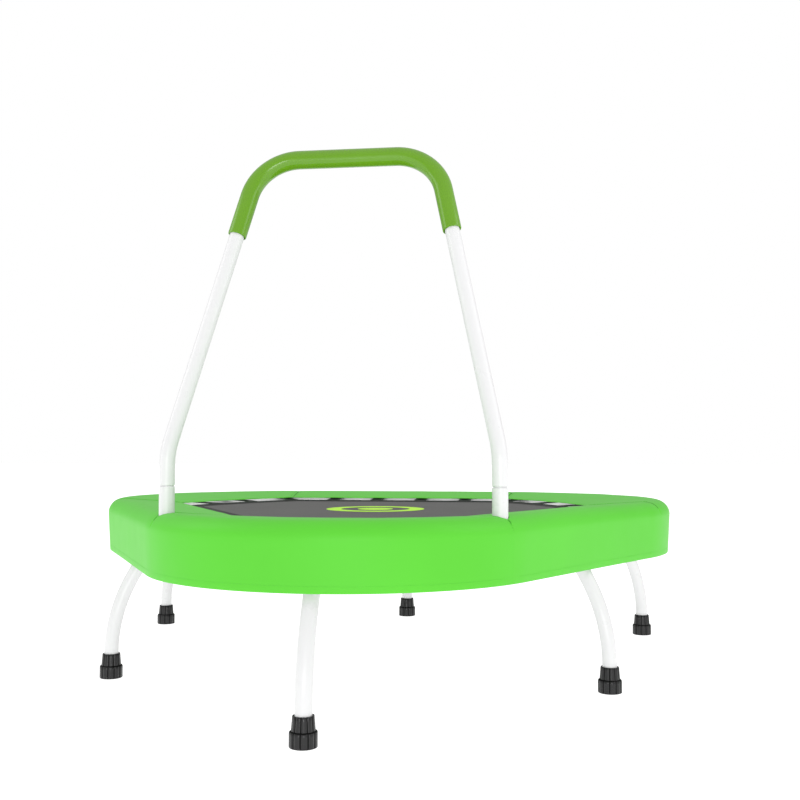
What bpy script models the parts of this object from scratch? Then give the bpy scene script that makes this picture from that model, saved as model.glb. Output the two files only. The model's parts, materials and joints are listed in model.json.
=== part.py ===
"""Child's mini trampoline with a removable handlebar. Blender 4.5, metres, +Z up.

The frame is a rounded triangle of steel tube on six curved legs. Three lobes (front, right rear, left
rear) alternate with three straight sides (right front, rear, left front). The jumping mat hangs in the
frame on elastic straps, a skirted pad covers tube and straps, and the handlebar plugs into two posts
beside the front lobe. The front, where the handlebar stands, faces -Y.
"""
import math

import bmesh
import bpy
from mathutils import Vector

GAP = 0.0003                    # clearance between pieces that touch
OVERCUT = 0.010                 # how far a cutter runs past the surface it opens
CENTRE_Y = 0.0648               # puts the middle of the whole object's box on the origin

# Steel tube
TUBE_R = 0.0127
TUBE_BORE_R = 0.0112
SPIGOT_R = 0.0109               # swaged end that plugs into the next tube
SPIGOT_BORE_R = 0.0097
NECK_IN = 0.0025                # how far the narrow bore runs into the full tube
TUBE_SIDES = 12
MAX_BEND_STEP = math.radians(11)

# Rail: three arcs joined by three straight tubes
RAIL_Z = 0.2885
RAIL_LOBE_CENTRE = 0.2592       # distance of each arc's centre from the trampoline's axis
RAIL_LOBE_R = 0.2898
RAIL_ARC_STEP = math.radians(10)
RAIL_SPIGOT = 0.030
RAIL_SIDE = RAIL_LOBE_CENTRE * math.cos(math.radians(60)) + RAIL_LOBE_R
RAIL_SIDE_HALF = RAIL_LOBE_CENTRE * math.sin(math.radians(60))

# Legs and feet
LOBE_FOOT_RADIUS = 0.650        # feet under the lobes, from the axis
SIDE_FOOT_RADIUS = 0.5204       # feet under the straight sides
LEG_ANGLE = math.radians(31.5)  # slope of the upper leg from vertical
LEG_BEND_R = 0.28
LEG_END_Z = 0.006
SOCKET_R = 0.0150
SOCKET_BORE_R = TUBE_R + GAP
SOCKET_START = 0.0145           # bottom of the socket's bore, from the rail's centre line
SOCKET_END = 0.056
FOOT_R = 0.0203
FOOT_NECK_R = 0.0172
FOOT_RIM_R = 0.0156
FOOT_SHOULDER_Z = 0.0225
FOOT_SHOULDER = 0.002           # height of the slope from base to neck
FOOT_CHAMFER = 0.001
FOOT_HEIGHT = 0.0441
FOOT_SIDES = 20

# Padded cover
SKIRT_Z = 0.2105
SKIRT_LOBE_CENTRE = 0.267
SKIRT_R = 0.3605                # outside of the skirt's hem, from the lobe's centre
PAD_BULGE = 0.004               # how far the padded edge stands out past the hem
SKIRT_THICKNESS = 0.003
PAD_CROWN_Z = 0.3157
PAD_LIP_Z = 0.3056
PAD_UNDER_Z = 0.3040
PAD_CROWN_AT = 0.78             # place of the crown, from lip (0) to outer edge (1)
PAD_EDGE_R = 0.028
PAD_EDGE_INNER_R = 0.012
PAD_EDGE_DROP = 0.0006          # from the crown to the start of the rounded edge
PAD_LOBE_STEPS = 14
OPENING_SIDE = 0.349            # straight edges of the opening, from the axis
OPENING_APEX = 0.417            # middle of the opening's bowed edges, from the axis
OPENING_BOW_R = 0.736
POST_NOTCH_R = 0.0140

# Mat
MAT_INSET = 0.018               # from the pad's opening to the mat's edge
MAT_BORDER = 0.025
MAT_TOP_Z = 0.2970
MAT_THICKNESS = 0.002
MAT_BORDER_THICKNESS = 0.003

# Elastic straps
STRAP_WIDTH = 0.030
STRAP_WRAP_R = 0.0133
STRAP_THICKNESS = 0.0015
STRAP_END_R = 0.0008
STRAP_END_Z = 0.2959
SIDE_STRAPS = (-0.158, -0.0527, 0.0527, 0.158)      # places along each straight side
LOBE_STRAP_OFFSET = 0.058       # of the two straps across each lobe, from the lobe's axis
CORNER_STRAP_CLEAR = 0.005      # keeps the square strap end off the mat's corner
LOBE_STRAP_RAIL_ANGLE = math.radians(15)    # where straps meet the rail's arc, from the lobe's axis
CORNER_STRAP_RAIL_ANGLE = math.radians(45)

# Posts and handlebar
POST_X = 0.2709
POST_FORWARD = 0.4681           # in front of the trampoline's axis
POST_BOTTOM_Z = 0.250
JOINT_Z = 0.358
SPIGOT_LENGTH = 0.075
BEND_Z = 0.4143                 # where post and slanted tube would meet without the bend
BAR_BEND_R = 0.120
BAR_TOP_Z = 0.9322
BAR_TOP_X = 0.1572              # half the top bar's length, to the unrounded corners
BAR_LEAN = 0.2832               # lean towards the mat, per metre of height above the bend
BAR_TOP_BEND_R = 0.0873
GRIP_R = 0.0165
GRIP_BORE_R = 0.0130
GRIP_END_Z = 0.7963
SLEEVE_R = 0.0155               # bracket sleeve round the post's lower end
SLEEVE_BORE_R = TUBE_R + GAP
SLEEVE_BOTTOM_Z = 0.247
SLEEVE_TOP_Z = 0.300
SPACER_WIDTH = 0.016
SPACER_HEIGHT = 0.022
BOLT_R = 0.003
BOLT_HOLE_R = 0.0034
BOLT_Z = 0.268
BOLT_HEAD_R = 0.0052
BOLT_HEAD = 0.004
SCREW_Z = 0.338
SCREW_R = 0.0028
SCREW_HEAD_R = 0.0050
SCREW_HEAD = 0.0042

STATIONS = {"front": -90, "right_front": -30, "right_rear": 30, "rear": 90, "left_rear": 150,
            "left_front": 210}
LOBES = ("front", "right_rear", "left_rear")
SIDES = ("right_front", "rear", "left_front")
UP = Vector((0, 0, 1))

COLOURS = {
    "white_tube": ((0.90, 0.90, 0.91), 0.25, 0.0),
    "green_cover": ((0.16, 0.80, 0.07), 0.45, 0.0),
    "mat_fabric": ((0.13, 0.13, 0.125), 0.85, 0.0),
    "webbing": ((0.03, 0.05, 0.03), 0.80, 0.0),
    "grip_foam": ((0.16, 0.38, 0.025), 0.50, 0.0),
    "rubber": ((0.025, 0.025, 0.025), 0.60, 0.0),
    "steel": ((0.55, 0.55, 0.56), 0.30, 1.0),
}


# ---------------------------------------------------------------- scene and materials

def clear_scene():
    for obj in list(bpy.data.objects):
        bpy.data.objects.remove(obj, do_unlink=True)


def material(name):
    mat = bpy.data.materials.get(name)
    if mat is None:
        colour, roughness, metallic = COLOURS[name]
        mat = bpy.data.materials.new(name)
        mat.use_nodes = True
        shader = mat.node_tree.nodes["Principled BSDF"]
        shader.inputs["Base Color"].default_value = (*colour, 1.0)
        shader.inputs["Roughness"].default_value = roughness
        shader.inputs["Metallic"].default_value = metallic
    return mat


def add_object(name, bm, colour, smooth=True):
    """Turn a bmesh into a named object with outward faces."""
    bmesh.ops.recalc_face_normals(bm, faces=bm.faces)
    mesh = bpy.data.meshes.new(name)
    bm.to_mesh(mesh)
    bm.free()
    mesh.materials.append(material(colour))
    if smooth:
        mesh.shade_smooth()
        mesh.set_sharp_from_angle(angle=math.radians(35))
    obj = bpy.data.objects.new(name, mesh)
    bpy.context.scene.collection.objects.link(obj)
    return obj


def add_tool(name, bm, colour="steel"):
    """An object that only cuts or joins another one."""
    obj = add_object(name, bm, colour, smooth=False)
    obj.hide_render = True
    obj.display_type = "WIRE"
    return obj


def combine(obj, tool, operation):
    modifier = obj.modifiers.new(f"{operation}_{tool.name}", "BOOLEAN")
    modifier.operation = operation
    modifier.solver = "EXACT"
    modifier.object = tool


# ---------------------------------------------------------------- plan geometry

def direction(angle):
    return Vector((math.cos(angle), math.sin(angle), 0))


def plan(point, z=0.0):
    """A point given from the trampoline's axis, in world coordinates."""
    return Vector((point[0], point[1] + CENTRE_Y, z))


def turn(angle):
    """Quarter turn anticlockwise from a plan direction."""
    return direction(angle + math.pi / 2)


def station_angle(name):
    return math.radians(STATIONS[name])


def bow_centre():
    return OPENING_APEX - OPENING_BOW_R


def corner_bow_angle(inset):
    """Half angle of the bowed edge, where it meets the straight edges."""
    reach = OPENING_SIDE - inset - bow_centre() / 2
    return math.radians(60) - math.acos(reach / (OPENING_BOW_R - inset))


def bow_point(lobe, fraction, inset):
    """Point on a lobe's bowed edge; fraction runs from -1 to 1."""
    bow = corner_bow_angle(inset) * fraction
    radius = OPENING_BOW_R - inset
    axis = station_angle(lobe)
    return direction(axis) * (bow_centre() + radius * math.cos(bow)) + turn(axis) * radius * math.sin(bow)


def outline(inset, steps=4):
    """The opening's outline, moved inwards by inset."""
    points = []
    for lobe in LOBES:
        points += [bow_point(lobe, -1 + 2 * i / steps, inset) for i in range(steps + 1)]
    return points


def seam_angle():
    """Angle of the seams, seen from the lobe's centre, from the lobe's axis."""
    corner = bow_point("right_rear", 1, 0)
    axis = station_angle("right_rear")
    along = corner.dot(direction(axis)) - SKIRT_LOBE_CENTRE
    return math.atan2(corner.dot(turn(axis)), along)


# ---------------------------------------------------------------- sweeps

def fillet(points, radii):
    """Round the inner corners of a polyline with arcs."""
    path = [points[0]]
    for i, radius in enumerate(radii):
        corner = points[i + 1]
        back = (points[i] - corner).normalized()
        ahead = (points[i + 2] - corner).normalized()
        half = back.angle(ahead) / 2
        middle = corner + (back + ahead).normalized() * (radius / math.sin(half))
        start = corner + back * (radius / math.tan(half)) - middle
        end = corner + ahead * (radius / math.tan(half)) - middle
        steps = max(2, math.ceil(start.angle(end) / MAX_BEND_STEP))
        path += [middle + start.slerp(end, j / steps) * radius for j in range(steps + 1)]
    path.append(points[-1])
    return path


def frames(path, first_normal):
    """Tangent, normal and binormal at each point, carried along without twist."""
    result = []
    normal = first_normal
    for i, point in enumerate(path):
        ahead = path[min(i + 1, len(path) - 1)] - point
        behind = point - path[max(i - 1, 0)]
        tangent = (ahead.normalized() + behind.normalized()).normalized()
        normal = (normal - tangent * normal.dot(tangent)).normalized()
        result.append((point, tangent, normal, tangent.cross(normal)))
    return result


def add_ring(bm, frame, radius, shift=0.0, sides=TUBE_SIDES):
    point, tangent, normal, binormal = frame
    centre = point + tangent * shift
    ring = []
    for i in range(sides):
        angle = 2 * math.pi * (i + 0.5) / sides
        ring.append(bm.verts.new(centre + (normal * math.cos(angle) + binormal * math.sin(angle)) * radius))
    return ring


def skin(bm, rings, closed=False):
    pairs = list(zip(rings, rings[1:]))
    if closed:
        pairs.append((rings[-1], rings[0]))
    for low, high in pairs:
        for i in range(len(low)):
            j = (i + 1) % len(low)
            bm.faces.new((low[i], low[j], high[j], high[i]))


def solid_sweep(stations, sides=TUBE_SIDES):
    """Closed bar through a list of (frame, radius, shift)."""
    bm = bmesh.new()
    rings = [add_ring(bm, frame, radius, shift, sides) for frame, radius, shift in stations]
    skin(bm, rings)
    bm.faces.new(rings[0])
    bm.faces.new(rings[-1])
    return bm


def tube_sweep(outer, bore, sides=TUBE_SIDES):
    """Open-ended tube; outer and bore are lists of (frame, radius, shift)."""
    bm = bmesh.new()
    rings = [add_ring(bm, frame, radius, shift, sides) for frame, radius, shift in outer]
    rings += [add_ring(bm, frame, radius, shift, sides) for frame, radius, shift in reversed(bore)]
    skin(bm, rings, closed=True)
    return bm


def straight(start, end, normal):
    return frames([start, end], normal)


def cylinder(start, end, radius, normal=UP, sides=TUBE_SIDES):
    first, last = straight(start, end, normal)
    return solid_sweep([(first, radius, 0), (last, radius, 0)], sides)


def turned(profile, centre, sides):
    """Closed turned shape about a vertical line; profile is a loop of (radius, z)."""
    bm = bmesh.new()
    rings = []
    for radius, z in profile:
        frame = (plan(centre, z), UP, Vector((1, 0, 0)), Vector((0, 1, 0)))
        rings.append(add_ring(bm, frame, radius, 0, sides))
    skin(bm, rings)
    bm.faces.new(rings[0])
    bm.faces.new(rings[-1])
    return bm


# ---------------------------------------------------------------- rail

def lobe_rail_path(lobe):
    axis = station_angle(lobe)
    centre = direction(axis) * RAIL_LOBE_CENTRE
    steps = round(math.radians(60) / RAIL_ARC_STEP)
    angles = [axis + RAIL_ARC_STEP * i for i in range(-steps, steps + 1)]
    return [plan(centre + direction(a) * RAIL_LOBE_R, RAIL_Z) for a in angles]


def arc_frames(lobe):
    """Frames on the arc, with end frames square to the straight rails."""
    path = lobe_rail_path(lobe)
    result = frames(path, UP)
    axis = station_angle(lobe)
    for index, angle in ((0, axis - math.radians(60)), (-1, axis + math.radians(60))):
        tangent = turn(angle)
        result[index] = (path[index], tangent, UP, tangent.cross(UP))
    return result


def leg_direction(station):
    """Unit vector down the upper leg, away from the rail."""
    outward = direction(station_angle(station))
    return (outward * math.sin(LEG_ANGLE) - UP * math.cos(LEG_ANGLE)).normalized()


def rail_middle(station):
    if station in LOBES:
        radius = RAIL_LOBE_CENTRE + RAIL_LOBE_R
    else:
        radius = RAIL_SIDE
    return plan(direction(station_angle(station)) * radius, RAIL_Z)


def add_leg_socket(rail, station):
    """Join the leg's socket to the rail and bore it."""
    middle = rail_middle(station)
    down = leg_direction(station)
    side = turn(station_angle(station))
    body = cylinder(middle, middle + down * SOCKET_END, SOCKET_R, side)
    combine(rail, add_tool(f"{station}_socket", body, "white_tube"), "UNION")
    start = middle + down * SOCKET_START
    bore = cylinder(start, middle + down * (SOCKET_END + OVERCUT), SOCKET_BORE_R, side)
    return add_tool(f"{station}_socket_bore", bore)


def post_base(side, z):
    return plan((side * POST_X, -POST_FORWARD), z)


def post_radial(side):
    """Plan direction from the front arc's centre to the post."""
    centre = plan((0, -RAIL_LOBE_CENTRE))
    return (post_base(side, 0) - centre).normalized()


def add_post_bracket(rail, side, name):
    """Join the sleeve that holds the post, and return the cutters of its bore and bolt hole."""
    radial = post_radial(side)
    across = radial.cross(UP)
    sleeve = cylinder(post_base(side, SLEEVE_BOTTOM_Z), post_base(side, SLEEVE_TOP_Z), SLEEVE_R, radial)
    inner = plan((0, -RAIL_LOBE_CENTRE), RAIL_Z) + radial * RAIL_LOBE_R
    outer = post_base(side, RAIL_Z) - radial * (SLEEVE_R + SLEEVE_BORE_R) / 2
    spacer = bmesh.new()
    corners = []
    for end in (inner, outer):
        for u, v in ((-1, -1), (1, -1), (1, 1), (-1, 1)):
            corners.append(spacer.verts.new(end + across * u * SPACER_WIDTH / 2 + UP * v * SPACER_HEIGHT / 2))
    skin(spacer, [corners[:4], corners[4:]])
    spacer.faces.new(corners[:4])
    spacer.faces.new(corners[4:])
    combine(rail, add_tool(f"{name}_spacer", spacer, "white_tube"), "UNION")
    combine(rail, add_tool(f"{name}_sleeve", sleeve, "white_tube"), "UNION")
    bore = cylinder(post_base(side, SLEEVE_BOTTOM_Z - OVERCUT), post_base(side, SLEEVE_TOP_Z + OVERCUT),
                    SLEEVE_BORE_R, radial)
    return [add_tool(f"{name}_sleeve_bore", bore), bolt_hole(side, f"{name}_bolt_hole")]


def bolt_hole(side, name):
    radial = post_radial(side)
    across = radial.cross(UP) * (SLEEVE_R + OVERCUT)
    middle = post_base(side, BOLT_Z)
    return add_tool(name, cylinder(middle - across, middle + across, BOLT_HOLE_R, radial, 8))


def make_lobe_rail(lobe):
    ring = arc_frames(lobe)
    first, last = ring[0], ring[-1]
    outer = [(first, SPIGOT_R, -RAIL_SPIGOT), (first, SPIGOT_R, 0)]
    outer += [(frame, TUBE_R, 0) for frame in ring]
    outer += [(last, SPIGOT_R, 0), (last, SPIGOT_R, RAIL_SPIGOT)]
    rail = add_object(f"rail_{lobe}", solid_sweep(outer), "white_tube")
    past = RAIL_SPIGOT + OVERCUT
    bore = [(first, SPIGOT_BORE_R, -past), (first, SPIGOT_BORE_R, NECK_IN)]
    bore += [(frame, TUBE_BORE_R, 0) for frame in ring[1:-1]]
    bore += [(last, SPIGOT_BORE_R, -NECK_IN), (last, SPIGOT_BORE_R, past)]
    cutters = [add_tool(f"rail_{lobe}_bore", solid_sweep(bore)), add_leg_socket(rail, lobe)]
    if lobe == "front":
        for side, name in ((-1, "left"), (1, "right")):
            cutters += add_post_bracket(rail, side, name)
    for cutter in cutters:
        combine(rail, cutter, "DIFFERENCE")


def make_side_rail(side):
    middle = rail_middle(side)
    along = turn(station_angle(side)) * (RAIL_SIDE_HALF - GAP)
    first, last = straight(middle - along, middle + along, UP)
    bar = solid_sweep([(first, TUBE_R, 0), (last, TUBE_R, 0)])
    rail = add_object(f"rail_{side}", bar, "white_tube")
    bore = solid_sweep([(first, TUBE_BORE_R, -OVERCUT), (last, TUBE_BORE_R, OVERCUT)])
    for cutter in (add_tool(f"rail_{side}_bore", bore), add_leg_socket(rail, side)):
        combine(rail, cutter, "DIFFERENCE")


# ---------------------------------------------------------------- legs and feet

def foot_radius(station):
    return LOBE_FOOT_RADIUS if station in LOBES else SIDE_FOOT_RADIUS


def leg_path(station):
    outward = direction(station_angle(station))
    foot = plan(outward * foot_radius(station))
    top = rail_middle(station) + leg_direction(station) * (SOCKET_START + GAP)
    reach = (foot - plan((0, 0))).length - (top - plan((0, 0), top.z)).length
    bend_z = top.z - reach / math.tan(LEG_ANGLE)
    corner = foot + UP * bend_z
    return fillet([foot + UP * LEG_END_Z, corner, top], [LEG_BEND_R])


def make_leg(station):
    ring = frames(leg_path(station), turn(station_angle(station)))
    outer = [(frame, TUBE_R, 0) for frame in ring]
    bore = [(frame, TUBE_BORE_R, 0) for frame in ring]
    add_object(f"leg_{station}", tube_sweep(outer, bore), "white_tube")


def make_foot(station):
    centre = direction(station_angle(station)) * foot_radius(station)
    bore_r = TUBE_R + 2 * GAP
    profile = [(FOOT_R - FOOT_CHAMFER, 0), (FOOT_R, FOOT_CHAMFER), (FOOT_R, FOOT_SHOULDER_Z - FOOT_SHOULDER),
               (FOOT_NECK_R, FOOT_SHOULDER_Z), (FOOT_RIM_R, FOOT_HEIGHT), (bore_r, FOOT_HEIGHT),
               (bore_r, LEG_END_Z - GAP)]
    add_object(f"foot_{station}", turned(profile, centre, FOOT_SIDES), "rubber")


# ---------------------------------------------------------------- padded cover

def pad_profile(lip, hem):
    """Loop of (distance, z) round the cover's section, from the lip outwards over the top."""
    edge = hem + PAD_BULGE
    width = edge - lip
    loop = [(lip, PAD_UNDER_Z), (lip, PAD_LIP_Z)]
    for part in (1 / 2, 1):
        loop.append((lip + width * PAD_CROWN_AT * part, PAD_LIP_Z + (PAD_CROWN_Z - PAD_LIP_Z) * part))
    for step in (1, 2, 3, 4):
        turned_by = math.pi / 2 * step / 4
        across = edge - PAD_EDGE_R * (1 - math.sin(turned_by))
        loop.append((across, PAD_CROWN_Z - PAD_EDGE_DROP - PAD_EDGE_R * (1 - math.cos(turned_by))))
    loop += [(hem, SKIRT_Z), (hem - SKIRT_THICKNESS, SKIRT_Z)]
    inner = edge - SKIRT_THICKNESS - 0.001
    low = PAD_UNDER_Z - PAD_EDGE_INNER_R
    loop += [(inner, low), (inner - PAD_EDGE_INNER_R * 0.3, low + PAD_EDGE_INNER_R * 0.7),
             (inner - PAD_EDGE_INNER_R, PAD_UNDER_Z)]
    return loop


def section(bm, origin, angle, lip, shift=0.0):
    """One cross-section of the cover along a plan ray; shift moves it sideways off a seam."""
    outward = direction(angle)
    start = origin + turn(angle) * shift
    return [bm.verts.new(plan(start + outward * s, z)) for s, z in pad_profile(lip, SKIRT_R)]


def ray_to_bow(centre, axis, angle):
    """Distance from a lobe's centre to its bowed opening edge."""
    offset = centre - direction(axis) * bow_centre()
    ray = direction(angle)
    along = offset.dot(ray)
    return -along + math.sqrt(along ** 2 - offset.length_squared + OPENING_BOW_R ** 2)


def close_panel(bm, sections, name):
    skin(bm, sections)
    bm.faces.new(sections[0])
    bm.faces.new(sections[-1])
    return add_object(name, bm, "green_cover")


def make_lobe_pad(lobe):
    axis = station_angle(lobe)
    centre = direction(axis) * SKIRT_LOBE_CENTRE
    bm = bmesh.new()
    sections = []
    for i in range(PAD_LOBE_STEPS + 1):
        angle = axis + seam_angle() * (2 * i / PAD_LOBE_STEPS - 1)
        shift = {0: GAP, PAD_LOBE_STEPS: -GAP}.get(i, 0.0)
        sections.append(section(bm, centre, angle, ray_to_bow(centre, axis, angle), shift))
    return close_panel(bm, sections, f"pad_{lobe}")


def make_side_pad(side):
    """Straight panel with the last few degrees of the lobe's curve at each end."""
    normal = station_angle(side)
    square = math.radians(60)
    lip = OPENING_SIDE - SKIRT_LOBE_CENTRE * math.cos(square)
    before = direction(normal - square) * SKIRT_LOBE_CENTRE
    after = direction(normal + square) * SKIRT_LOBE_CENTRE
    fan = square - seam_angle()
    seam_lip = lip / math.cos(fan)
    bm = bmesh.new()
    sections = [section(bm, before, normal - fan, seam_lip, GAP), section(bm, before, normal, lip),
                section(bm, after, normal, lip), section(bm, after, normal + fan, seam_lip, -GAP)]
    return close_panel(bm, sections, f"pad_{side}")


def notch_for_posts(pads):
    """Cut the half-round post holes at the front panel's two seams."""
    for side, name, neighbour in ((-1, "left", "left_front"), (1, "right", "right_front")):
        hole = cylinder(post_base(side, PAD_UNDER_Z - OVERCUT), post_base(side, PAD_CROWN_Z + OVERCUT),
                        POST_NOTCH_R, post_radial(side))
        cutter = add_tool(f"{name}_post_hole", hole)
        for station in ("front", neighbour):
            combine(pads[station], cutter, "DIFFERENCE")


def make_cover():
    pads = {lobe: make_lobe_pad(lobe) for lobe in LOBES}
    pads.update({side: make_side_pad(side) for side in SIDES})
    notch_for_posts(pads)


# ---------------------------------------------------------------- mat and straps

def make_mat():
    bm = bmesh.new()
    rings = []
    for z in (MAT_TOP_Z - MAT_THICKNESS, MAT_TOP_Z):
        rings.append([bm.verts.new(plan(p, z)) for p in outline(MAT_INSET + MAT_BORDER + GAP)])
    skin(bm, rings)
    bm.faces.new(rings[0])
    bm.faces.new(rings[-1])
    add_object("mat", bm, "mat_fabric")


def make_mat_border():
    middle = MAT_TOP_Z - MAT_THICKNESS / 2
    low, high = middle - MAT_BORDER_THICKNESS / 2, middle + MAT_BORDER_THICKNESS / 2
    bm = bmesh.new()
    loops = ((MAT_INSET, low), (MAT_INSET, high), (MAT_INSET + MAT_BORDER, high),
             (MAT_INSET + MAT_BORDER, low))
    rings = [[bm.verts.new(plan(p, z)) for p in outline(inset)] for inset, z in loops]
    skin(bm, rings, closed=True)
    add_object("mat_border", bm, "webbing")


def strap_loop(bm, rail, mat, thickness, side):
    """One edge loop of the strap's band: round the rail, then to the mat's edge.

    rail and mat are (point, direction along the edge); side is -1 or 1 for the band's two edges.
    """
    wrap = STRAP_WRAP_R + thickness
    tip = STRAP_END_R + thickness
    half = STRAP_WIDTH / 2
    rail_in = UP.cross(rail[1])
    mat_in = UP.cross(mat[1])
    loop = []
    for i in range(9):
        angle = math.radians(90 + 180 * i / 8)
        offset = rail_in * math.cos(angle) * wrap + UP * math.sin(angle) * wrap
        loop.append(bm.verts.new(rail[0] + offset + rail[1] * side * half))
    for angle in (math.radians(-75), 0, math.radians(75)):
        offset = mat_in * (math.cos(angle) - 1) * tip + UP * math.sin(angle) * tip
        offset -= mat_in * (STRAP_THICKNESS - thickness)
        loop.append(bm.verts.new(mat[0] + offset + mat[1] * side * half))
    return loop


def make_strap(name, rail_xy, rail_along, mat_xy, mat_along):
    """Elastic loop from the mat's edge round the rail."""
    rail = (plan(rail_xy, RAIL_Z), rail_along)
    mat = (plan(mat_xy, STRAP_END_Z), mat_along)
    bm = bmesh.new()
    edges = ((0, -1), (STRAP_THICKNESS, -1), (STRAP_THICKNESS, 1), (0, 1))
    loops = [strap_loop(bm, rail, mat, thickness, side) for thickness, side in edges]
    skin(bm, loops, closed=True)
    add_object(name, bm, "webbing")


def strap_ends():
    """Rail point and direction, and mat point and direction, of every strap."""
    end_inset = MAT_INSET - 2 * GAP
    for station, degrees in STATIONS.items():
        axis = math.radians(degrees)
        if station in SIDES:
            for along in SIDE_STRAPS:
                across = turn(axis)
                yield (direction(axis) * RAIL_SIDE + across * along, across,
                       direction(axis) * (OPENING_SIDE - end_inset) + across * along, across)
            continue
        centre = direction(axis) * RAIL_LOBE_CENTRE
        wrapped = RAIL_LOBE_R * math.cos(RAIL_ARC_STEP / 2)
        half_edge = OPENING_BOW_R * math.sin(corner_bow_angle(0))
        for side in (-1, 1):
            rail_angle = axis + side * LOBE_STRAP_RAIL_ANGLE
            mat_point = bow_point(station, side * LOBE_STRAP_OFFSET / half_edge, end_inset)
            yield centre + direction(rail_angle) * wrapped, turn(rail_angle), mat_point, turn(axis)
            rail_angle = axis + side * CORNER_STRAP_RAIL_ANGLE
            corner_axis = axis + side * math.radians(30)
            mat_point = bow_point(station, side, end_inset) + direction(corner_axis) * CORNER_STRAP_CLEAR
            yield centre + direction(rail_angle) * wrapped, turn(rail_angle), mat_point, turn(corner_axis)


def make_straps():
    for number, (rail_xy, rail_along, mat_xy, mat_along) in enumerate(strap_ends(), 1):
        make_strap(f"strap_{number:02d}", rail_xy, rail_along, mat_xy, mat_along)


# ---------------------------------------------------------------- posts and handlebar

def make_post(side, name):
    radial = post_radial(side)
    first, last = straight(post_base(side, POST_BOTTOM_Z), post_base(side, JOINT_Z), radial)
    bm = tube_sweep([(first, TUBE_R, 0), (last, TUBE_R, 0)],
                    [(first, TUBE_BORE_R, 0), (last, TUBE_BORE_R, 0)])
    post = add_object(f"post_{name}", bm, "white_tube")
    combine(post, bolt_hole(side, f"{name}_post_bolt_hole"), "DIFFERENCE")
    start = post_base(side, SCREW_Z)
    hole = cylinder(start, start + Vector((0, TUBE_R + OVERCUT, 0)), SCREW_R + 2 * GAP, UP, 8)
    combine(post, add_tool(f"{name}_screw_hole", hole), "DIFFERENCE")


def make_post_bolt(side, name):
    """Bolt and nut through bracket sleeve and post."""
    across = post_radial(side).cross(UP)
    middle = (post_base(side, BOLT_Z), across, UP, across.cross(UP))
    seat = SLEEVE_R + GAP
    stations = [(middle, BOLT_HEAD_R, -seat - BOLT_HEAD), (middle, BOLT_HEAD_R, -seat), (middle, BOLT_R, -seat),
                (middle, BOLT_R, seat), (middle, BOLT_HEAD_R, seat), (middle, BOLT_HEAD_R, seat + BOLT_HEAD)]
    add_object(f"post_bolt_{name}", solid_sweep(stations, 8), "steel")


def make_lock_screw(side, name):
    """Screw whose tip bears on the handlebar's end inside the post."""
    axis = Vector((0, 1, 0))
    middle = (post_base(side, SCREW_Z), axis, UP, axis.cross(UP))
    tip = SPIGOT_R + 2 * GAP
    seat = TUBE_R + GAP
    stations = [(middle, SCREW_R, tip), (middle, SCREW_R, seat), (middle, SCREW_HEAD_R, seat),
                (middle, SCREW_HEAD_R, seat + SCREW_HEAD * 0.6), (middle, SCREW_HEAD_R * 0.75, seat + SCREW_HEAD)]
    add_object(f"lock_screw_{name}", solid_sweep(stations, 10), "steel")


def handlebar_corners():
    top_y = -POST_FORWARD + BAR_LEAN * (BAR_TOP_Z - BEND_Z)
    left = [plan((-POST_X, -POST_FORWARD), JOINT_Z + GAP), plan((-POST_X, -POST_FORWARD), BEND_Z),
            plan((-BAR_TOP_X, top_y), BAR_TOP_Z)]
    right = [Vector((-p.x, p.y, p.z)) for p in reversed(left)]
    return left + right


def handlebar_frames():
    radii = [BAR_BEND_R, BAR_TOP_BEND_R, BAR_TOP_BEND_R, BAR_BEND_R]
    return frames(fillet(handlebar_corners(), radii), post_radial(-1))


def make_handlebar():
    ring = handlebar_frames()
    first, last = ring[0], ring[-1]
    outer = [(first, SPIGOT_R, -SPIGOT_LENGTH), (first, SPIGOT_R, 0)]
    outer += [(frame, TUBE_R, 0) for frame in ring]
    outer += [(last, SPIGOT_R, 0), (last, SPIGOT_R, SPIGOT_LENGTH)]
    bore = [(first, SPIGOT_BORE_R, -SPIGOT_LENGTH), (first, SPIGOT_BORE_R, NECK_IN)]
    bore += [(frame, TUBE_BORE_R, 0) for frame in ring[1:-1]]
    bore += [(last, SPIGOT_BORE_R, -NECK_IN), (last, SPIGOT_BORE_R, SPIGOT_LENGTH)]
    add_object("handlebar", tube_sweep(outer, bore), "white_tube")


def make_grip():
    """Sleeve over the top bar and both its bends, down to GRIP_END_Z on each side."""
    ring = handlebar_frames()
    above = [i for i, frame in enumerate(ring) if frame[0].z > GRIP_END_Z]
    first, last = above[0], above[-1]
    stations = []
    slope = (ring[first][0] - ring[first - 1][0]).normalized()
    drop = (ring[first][0].z - GRIP_END_Z) / slope.z
    start = (ring[first][0], slope) + ring[first][2:]
    end_slope = Vector((slope.x, -slope.y, -slope.z))
    end = (ring[last][0], end_slope) + ring[last][2:]
    stations.append((start, -drop))
    stations += [(frame, 0) for frame in ring[first:last + 1]]
    stations.append((end, drop))
    outer = [(frame, GRIP_R, shift) for frame, shift in stations]
    bore = [(frame, GRIP_BORE_R, shift) for frame, shift in stations]
    add_object("handlebar_grip", tube_sweep(outer, bore), "grip_foam")


def main():
    clear_scene()
    for lobe in LOBES:
        make_lobe_rail(lobe)
    for side in SIDES:
        make_side_rail(side)
    for station in STATIONS:
        make_leg(station)
        make_foot(station)
    make_cover()
    make_mat()
    make_mat_border()
    make_straps()
    for side, name in ((-1, "left"), (1, "right")):
        make_post(side, name)
        make_post_bolt(side, name)
        make_lock_screw(side, name)
    make_handlebar()
    make_grip()


main()
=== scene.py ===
"""Looks of a child's mini trampoline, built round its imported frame. Blender 4.5, metres, +Z up.

Station angles and the trampoline's axis come from the frame's mounts. The other driving dimensions repeat
the CAD model's, so every visual piece lies in the space of the solid that it stands for.
"""
import json
import math

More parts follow.
